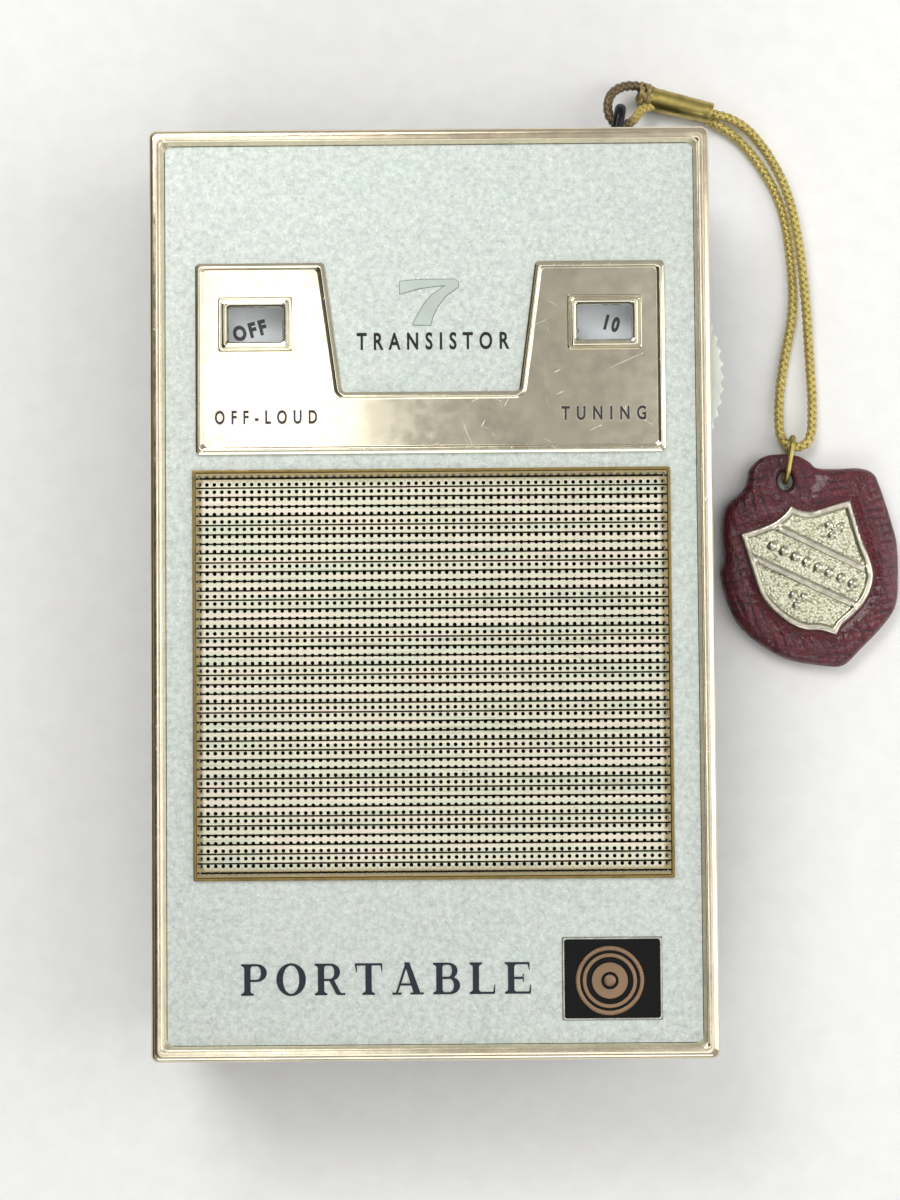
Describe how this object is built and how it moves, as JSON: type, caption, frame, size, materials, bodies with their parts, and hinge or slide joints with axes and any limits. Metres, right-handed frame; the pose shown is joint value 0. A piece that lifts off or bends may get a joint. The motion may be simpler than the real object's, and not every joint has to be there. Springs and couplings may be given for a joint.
{
  "type": "transistor pocket radio",
  "caption": "Shirt-pocket transistor radio with framed face, gilt speaker mesh, dial windows, edge thumbwheels and a braided carrying loop with leather fob.",
  "frame": {"origin": "middle of the flat back face, on the surface that the radio lies on", "axes": "+X to the radio's right as its face is read, +Y to its top, +Z out of the face"},
  "size_m": [0.0904, 0.1184, 0.026],
  "materials": {
    "case_plastic": "moulded black",
    "gilt_bezel": "champagne plated",
    "sparkle_panel": "silver green sparkle paint",
    "brushed_gilt": "satin champagne",
    "clear_lens": "clear",
    "gold_mesh": "pressed gilt mesh",
    "black_cloth": "woven",
    "black_enamel": "gloss",
    "gilt_trim": "polished",
    "black_steel": "blackened",
    "plated_steel": "tin plated",
    "gold_braid": "metallic braid",
    "brass": "drawn",
    "old_brass": "dull",
    "oxblood_leather": "pebbled",
    "pewter_gilt": "worn silver gilt",
    "board_laminate": "phenolic laminate",
    "cream_plastic": "moulded",
    "ferrite": "sintered",
    "copper_coil": "waxed copper wire",
    "lamination": "varnished",
    "blue_sleeve": "shrunk sleeve",
    "ceramic_body": "dipped",
    "resistor_body": "dipped",
    "cone_paper": "pressed",
    "black_plastic": "moulded",
    "battery_jacket": "printed tin",
    "red_lead": "sleeved wire",
    "wheel_plastic": "moulded ivory grey",
    "foam": "foam sheet"
  },
  "bodies": {
    "back": {"back_cover": "case_plastic", "battery_pad": "foam", "strap_staple": "black_steel", "staple_plate": "plated_steel", "strap_cord": "gold_braid", "strap_ferrule": "brass"},
    "front": {"front_case": "case_plastic", "bezel_frame": "gilt_bezel", "face_panel": "sparkle_panel", "dial_escutcheon": "brushed_gilt", "tuning_lens": "clear_lens", "volume_lens": "clear_lens", "speaker_grille": "gold_mesh", "grille_cloth": "black_cloth", "badge_plate": "black_enamel", "badge_roundel": "gilt_trim", "circuit_board": "board_laminate", "board_screws": "plated_steel", "tuning_capacitor": "cream_plastic", "trimmer_screws": "brass", "volume_control": "plated_steel", "ferrite_rod": "ferrite", "antenna_coil": "copper_coil", "antenna_holders": "cream_plastic", "if_transformers": "plated_steel", "driver_transformer": "lamination", "output_transformer": "lamination", "transistors": "plated_steel", "electrolytic_capacitors": "blue_sleeve", "ceramic_capacitors": "ceramic_body", "resistors": "resistor_body", "detector_diode": "clear_lens", "speaker_frame": "plated_steel", "speaker_magnet": "ferrite", "speaker_cone": "cone_paper", "speaker_clips": "plated_steel", "clip_screws": "plated_steel", "earphone_jack": "black_plastic", "jack_nut": "gilt_trim", "battery": "battery_jacket", "battery_snap": "black_plastic", "battery_lead_red": "red_lead", "battery_lead_black": "black_plastic", "speaker_leads": "red_lead"},
    "tuning_wheel": {"tuning_knob": "wheel_plastic", "tuning_shaft": "brass", "tuning_knob_screw": "plated_steel"},
    "volume_wheel": {"volume_knob": "wheel_plastic", "volume_shaft": "brass", "volume_knob_screw": "plated_steel"},
    "fob": {"jump_ring": "old_brass", "fob_leather": "oxblood_leather", "fob_emblem": "pewter_gilt"}
  },
  "joints": [
    {"name": "front_lift", "type": "slide", "parent": "back", "child": "front", "axis": [0, 0, 1], "range_m": [0, 0.04]},
    {"name": "tuning_turn", "type": "hinge", "parent": "front", "child": "tuning_wheel", "pos_m": [0.0196, 0.025, 0.0205], "axis": [0, 0, 1], "range_deg": [-100, 80]},
    {"name": "volume_turn", "type": "hinge", "parent": "front", "child": "volume_wheel", "pos_m": [-0.0196, 0.025, 0.0205], "axis": [0, 0, 1], "range_deg": [-290, 0]},
    {"name": "fob_swing", "type": "hinge", "parent": "back", "child": "fob", "pos_m": [0.0449, 0.01875, 0.00175], "axis": [-1, 0, 0], "range_deg": [0, 95]}
  ]
}
